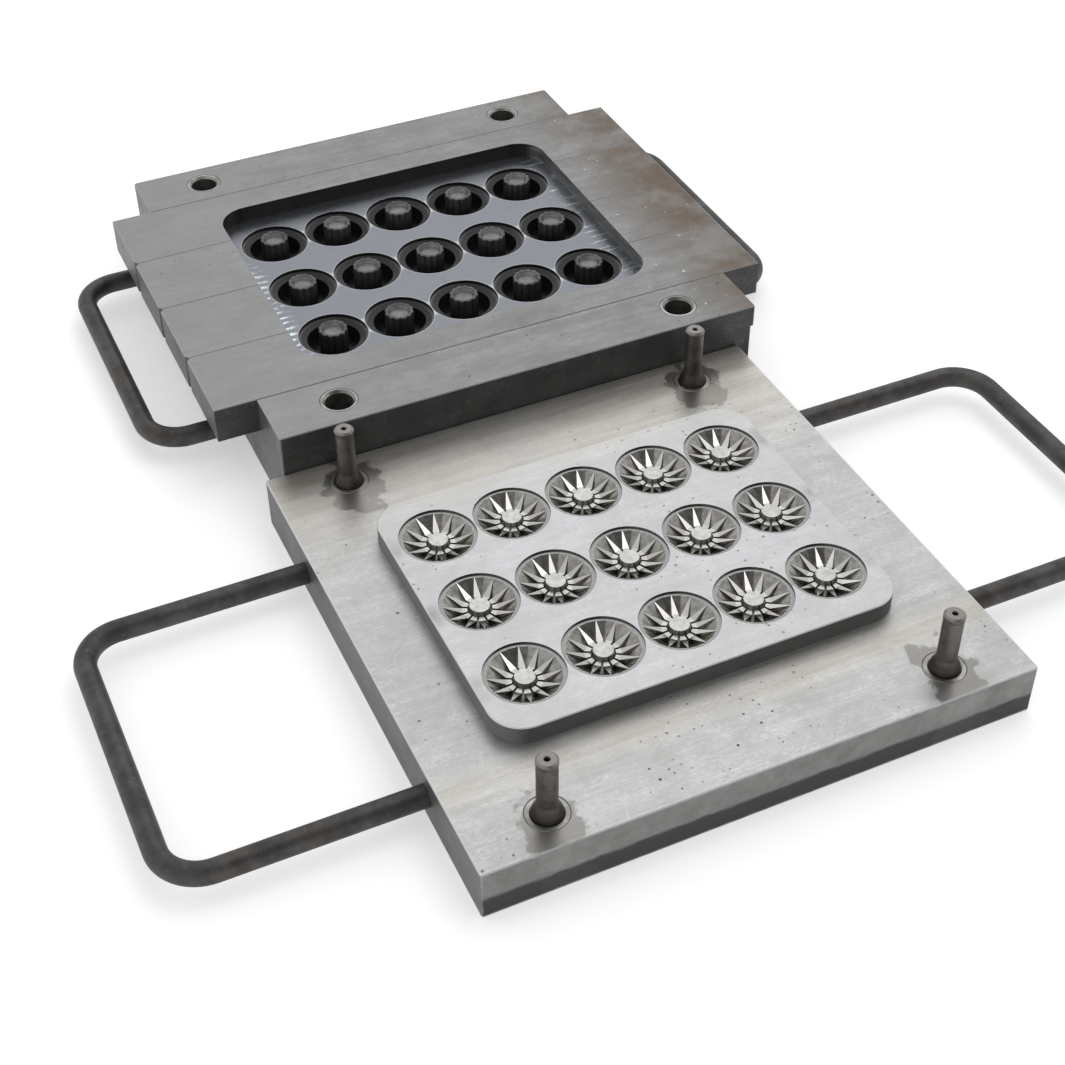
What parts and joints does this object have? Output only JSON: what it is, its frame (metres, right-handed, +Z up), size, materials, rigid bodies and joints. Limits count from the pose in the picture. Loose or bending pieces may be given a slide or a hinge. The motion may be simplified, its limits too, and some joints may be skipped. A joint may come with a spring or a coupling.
{
  "type": "compression mould",
  "caption": "Open steel compression mould: a plate with guide pins and a raised pad of fluted cavities, a channelled block with split bars and scalloped core posts, and rod handles.",
  "frame": {"origin": "on the floor that both halves lie on, at the middle of the whole part's footprint, which is the line where the halves meet", "axes": "+Z up, +Y from the front half (pad and pins) to the rear half (bars and posts), +X along the rows of five cavities"},
  "size_m": [0.562, 0.6004, 0.067],
  "materials": {
    "plate_steel": "ground top, oily, dark rough sides",
    "base_steel": "milled, worn, dark sides",
    "bar_steel": "ground and scratched, rust stained at one end",
    "post_steel": "polished",
    "pin_steel": "ground and hardened",
    "sleeve_steel": "ground flush",
    "rod_steel": "hot rolled, oxide dark"
  },
  "bodies": {
    "root": {"front_plate": "plate_steel", "rear_base": "base_steel", "split_bar_1": "bar_steel", "split_bar_2": "bar_steel", "split_bar_3": "bar_steel", "split_bar_4": "bar_steel", "guide_pin_1": "pin_steel", "guide_pin_2": "pin_steel", "guide_pin_3": "pin_steel", "guide_pin_4": "pin_steel", "pin_sleeve_1": "sleeve_steel", "pin_sleeve_2": "sleeve_steel", "pin_sleeve_3": "sleeve_steel", "pin_sleeve_4": "sleeve_steel", "guide_bush_1": "sleeve_steel", "guide_bush_2": "sleeve_steel", "guide_bush_3": "sleeve_steel", "guide_bush_4": "sleeve_steel", "core_post_1": "post_steel", "core_post_2": "post_steel", "core_post_3": "post_steel", "core_post_4": "post_steel", "core_post_5": "post_steel", "core_post_6": "post_steel", "core_post_7": "post_steel", "core_post_8": "post_steel", "core_post_9": "post_steel", "core_post_10": "post_steel", "core_post_11": "post_steel", "core_post_12": "post_steel", "core_post_13": "post_steel", "core_post_14": "post_steel", "core_post_15": "post_steel", "front_handle_left": "rod_steel", "front_handle_right": "rod_steel", "rear_handle_left": "rod_steel", "rear_handle_right": "rod_steel"}
  },
  "joints": []
}
